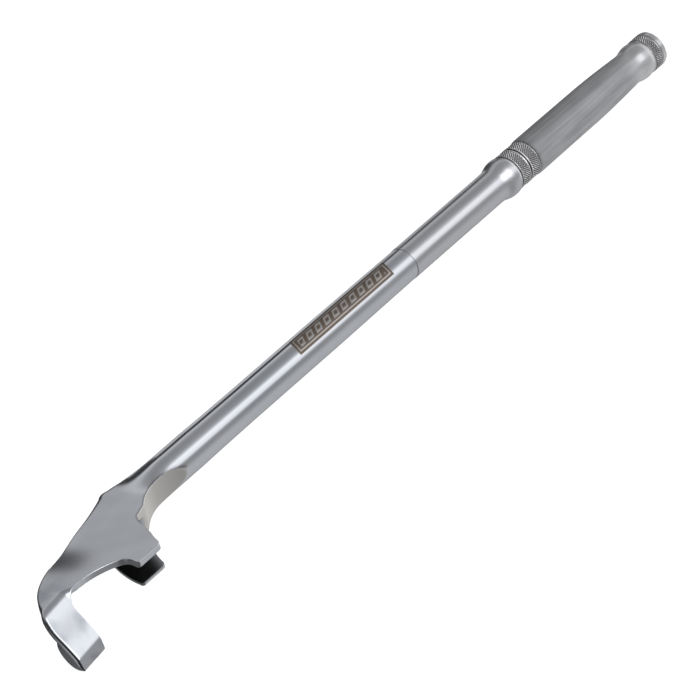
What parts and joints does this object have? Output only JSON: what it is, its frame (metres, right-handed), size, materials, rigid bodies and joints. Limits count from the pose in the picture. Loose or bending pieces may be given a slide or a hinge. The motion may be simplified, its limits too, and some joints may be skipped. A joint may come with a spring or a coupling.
{
  "type": "hook-jaw lever bar",
  "caption": "Straight steel lever bar: forged flat jaw with a bent hook toe and two slotted ears, round polished shank, and a turned satin handle with knurled bands.",
  "frame": {"origin": "centre of the handle's flat end face", "axes": "+X along the bar to the jaw, +Y the way the jaw's mouth and slot open, +Z the normal of the jaw plate's flat top"},
  "size_m": [0.4799, 0.0528, 0.0241],
  "materials": {
    "satin_steel": "satin, fine turned",
    "polished_steel": "polished"
  },
  "bodies": {
    "root": {"handle_bar": "satin_steel", "forged_jaw_and_shank": "polished_steel"}
  },
  "joints": []
}
